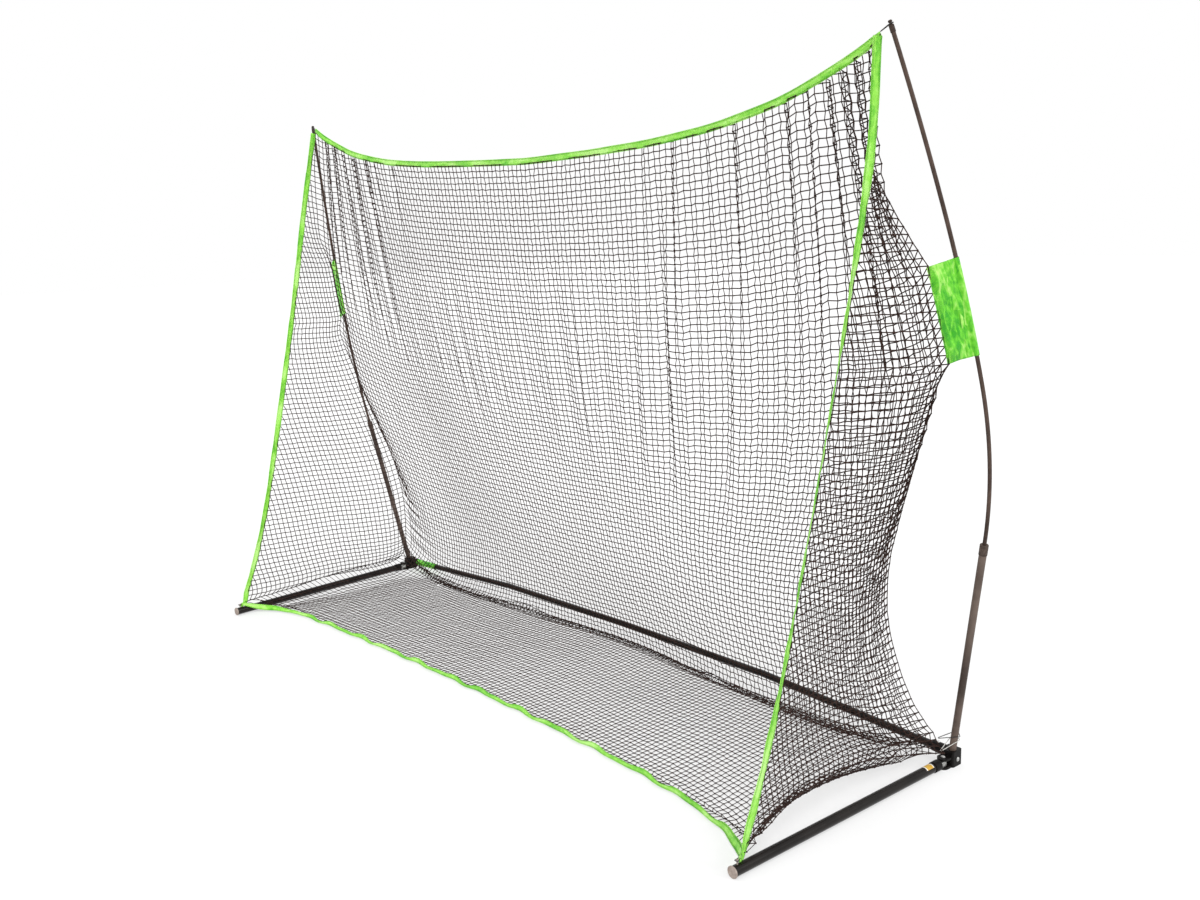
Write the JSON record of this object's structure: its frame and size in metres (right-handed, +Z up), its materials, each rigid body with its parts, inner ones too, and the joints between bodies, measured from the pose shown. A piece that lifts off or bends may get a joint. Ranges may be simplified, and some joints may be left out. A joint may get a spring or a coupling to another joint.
{
  "type": "golf practice net",
  "caption": "Free-standing golf practice net: a knotted net bag with green webbing hems, held open by two bowed rods on a folding tube base.",
  "frame": {"origin": "on the floor under the middle of the object's box", "axes": "+X to the right as a player facing the open mouth sees it, +Y away from the player towards the rear rail, +Z up"},
  "size_m": [3.4006, 1.0117, 2.1356],
  "materials": {
    "steel_black": "gloss",
    "steel_grey": "satin",
    "fibreglass": "satin",
    "black_plastic": "satin",
    "pale_plastic": "matte",
    "zinc": "satin",
    "spring_steel": "satin",
    "net_cord": "matte",
    "green_webbing": "satin",
    "tie_cord": "matte",
    "white_elastic": "matte",
    "label": "satin"
  },
  "bodies": {
    "frame": {"hem_bottom": "green_webbing", "hem_left": "green_webbing", "hem_right": "green_webbing", "hem_top": "green_webbing", "hub_left": "black_plastic", "hub_right": "black_plastic", "net_back": "net_cord", "net_floor": "net_cord", "net_side_left": "net_cord", "net_side_right": "net_cord", "pivot_bolts": "zinc", "pivot_nuts": "zinc", "pivot_washers": "pale_plastic", "rail_screws": "zinc", "rail_strap": "green_webbing", "rear_elastic_right": "white_elastic", "rear_rail_left_inner": "steel_black", "rear_rail_left_outer": "steel_black", "rear_rail_right_inner": "steel_black", "rear_rail_right_outer": "steel_black", "rear_tie_left": "tie_cord", "rear_tie_right": "tie_cord", "reducer_left": "black_plastic", "reducer_right": "black_plastic", "rod_joint_pins": "zinc", "rod_lower_left": "fibreglass", "rod_lower_right": "fibreglass", "rod_middle_left": "fibreglass", "rod_middle_right": "fibreglass", "rod_shock_cord_left": "white_elastic", "rod_shock_cord_right": "white_elastic", "rod_sleeve_left": "green_webbing", "rod_sleeve_right": "green_webbing", "rod_upper_left": "fibreglass", "rod_upper_right": "fibreglass", "snap_springs": "spring_steel", "tip_cap_left": "black_plastic", "tip_cap_right": "black_plastic", "top_tie_left": "tie_cord", "top_tie_right": "tie_cord", "upright_lock_screws": "zinc", "upright_tube_left": "steel_grey", "upright_tube_right": "steel_grey"},
    "left_leg": {"leg_tongue_left": "zinc", "leg_tube_left": "steel_black", "leg_collar_left": "black_plastic", "leg_end_cap_left": "pale_plastic", "net_peg_left": "pale_plastic", "front_tie_left": "tie_cord"},
    "right_leg": {"leg_tongue_right": "zinc", "leg_tube_right": "steel_black", "leg_collar_right": "black_plastic", "leg_end_cap_right": "pale_plastic", "net_peg_right": "pale_plastic", "front_tie_right": "tie_cord", "leg_sticker": "label"},
    "rail_button_left": {"rail_button_left": "zinc"},
    "rail_button_middle": {"rail_button_middle": "zinc"},
    "rail_button_right": {"rail_button_right": "zinc"}
  },
  "joints": [
    {"name": "left_leg_fold", "type": "hinge", "parent": "frame", "child": "left_leg", "pos_m": [-1.52282, 0.39966, 0.017], "axis": [0, 0, 1], "range_deg": [0, 90], "deforming": ["net_floor", "net_side_left", "net_side_right", "hem_left", "hem_right", "hem_bottom"]},
    {"name": "right_leg_fold", "type": "hinge", "parent": "frame", "child": "right_leg", "pos_m": [1.52282, 0.39966, 0.017], "axis": [0, 0, -1], "range_deg": [0, 90], "deforming": ["net_floor", "net_side_left", "net_side_right", "hem_left", "hem_right", "hem_bottom"]},
    {"name": "rail_snap_left", "type": "slide", "parent": "frame", "child": "rail_button_left", "axis": [0.0328, -0.9995, 0.0005], "range_m": [0, 0.0042], "stiffness_N_per_m": 1500, "springref_m": -0.004, "deforming": ["snap_springs"]},
    {"name": "rail_snap_middle", "type": "slide", "parent": "frame", "child": "rail_button_middle", "axis": [0, -1, 0], "range_m": [0, 0.0042], "stiffness_N_per_m": 1500, "springref_m": -0.004, "deforming": ["snap_springs"]},
    {"name": "rail_snap_right", "type": "slide", "parent": "frame", "child": "rail_button_right", "axis": [-0.0328, -0.9995, 0.0005], "range_m": [0, 0.0042], "stiffness_N_per_m": 1500, "springref_m": -0.004, "deforming": ["snap_springs"]}
  ]
}
